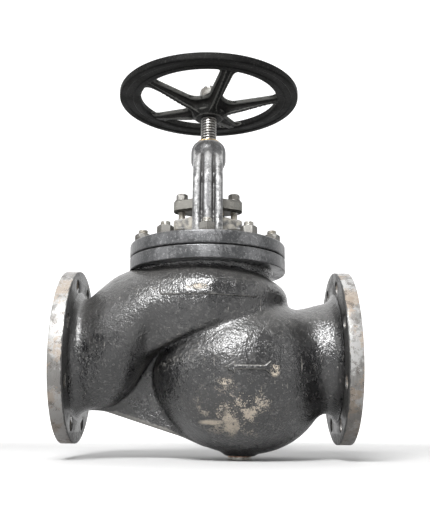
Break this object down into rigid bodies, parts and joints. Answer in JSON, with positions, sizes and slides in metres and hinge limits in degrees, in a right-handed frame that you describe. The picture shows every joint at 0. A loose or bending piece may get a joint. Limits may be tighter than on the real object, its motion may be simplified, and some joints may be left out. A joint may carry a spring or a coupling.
{
  "type": "globe valve",
  "caption": "Flanged straight-pattern globe valve with bolted bonnet, rising stem, yoke, gland and spoked handwheel.",
  "frame": {"origin": "centre of the outlet flange's bolt circle, in the plane of the flange 3 mm behind its raised face", "axes": "+X along the pipe axis towards the inlet flange, +Z along the stem towards the handwheel, +Y towards the back"},
  "size_m": [0.48, 0.324, 0.6605],
  "materials": {
    "cast_body_paint": "worn black paint on rough cast iron",
    "bonnet_paint": "satin worn grey paint on cast iron",
    "gland_paint": "bare weathered cast iron",
    "wheel_paint": "black paint, dusty near the rim",
    "stem_steel": "machined steel",
    "stud_steel": "dull zinc plated steel",
    "nut_steel": "dusty zinc plated steel",
    "bronze": "machined bronze",
    "copper": "soft copper",
    "graphite": "matt graphite",
    "disc_iron": "machined cast iron"
  },
  "bodies": {
    "valve_body": {"body": "cast_body_paint", "seat_ring": "bronze", "bonnet": "bonnet_paint", "bonnet_gasket": "graphite", "bonnet_studs": "stud_steel", "bonnet_nuts": "nut_steel", "backseat_bush": "bronze", "packing_base_ring": "bronze", "packing_rings": "graphite", "gland_bush": "bronze", "gland_flange": "gland_paint", "gland_studs": "stud_steel", "gland_washers": "nut_steel", "gland_nuts": "nut_steel", "yoke_bush": "bronze", "yoke_bush_grub_screw": "stud_steel", "drain_washer": "copper", "drain_plug": "stud_steel"},
    "closing_disc": {"disc": "disc_iron", "disc_seat_ring": "bronze", "disc_thrust_pad": "stem_steel", "disc_nut": "bronze", "disc_nut_lock_pin": "stud_steel"},
    "stem_and_handwheel": {"stem": "stem_steel", "handwheel": "wheel_paint", "handwheel_key": "stem_steel", "handwheel_washer": "nut_steel", "handwheel_nut": "nut_steel"}
  },
  "joints": [
    {"name": "disc_lift", "type": "slide", "parent": "valve_body", "child": "closing_disc", "axis": [0, 0, 1], "range_m": [-0.03801, 0]},
    {"name": "handwheel_turn", "type": "hinge", "parent": "closing_disc", "child": "stem_and_handwheel", "pos_m": [0.237, 0, 0.47], "axis": [0, 0, 1], "range_deg": [-2736, 0]}
  ],
  "couplings": [
    {"joint": "disc_lift", "follows": "handwheel_turn", "m_per_rad": 0.00079577}
  ]
}
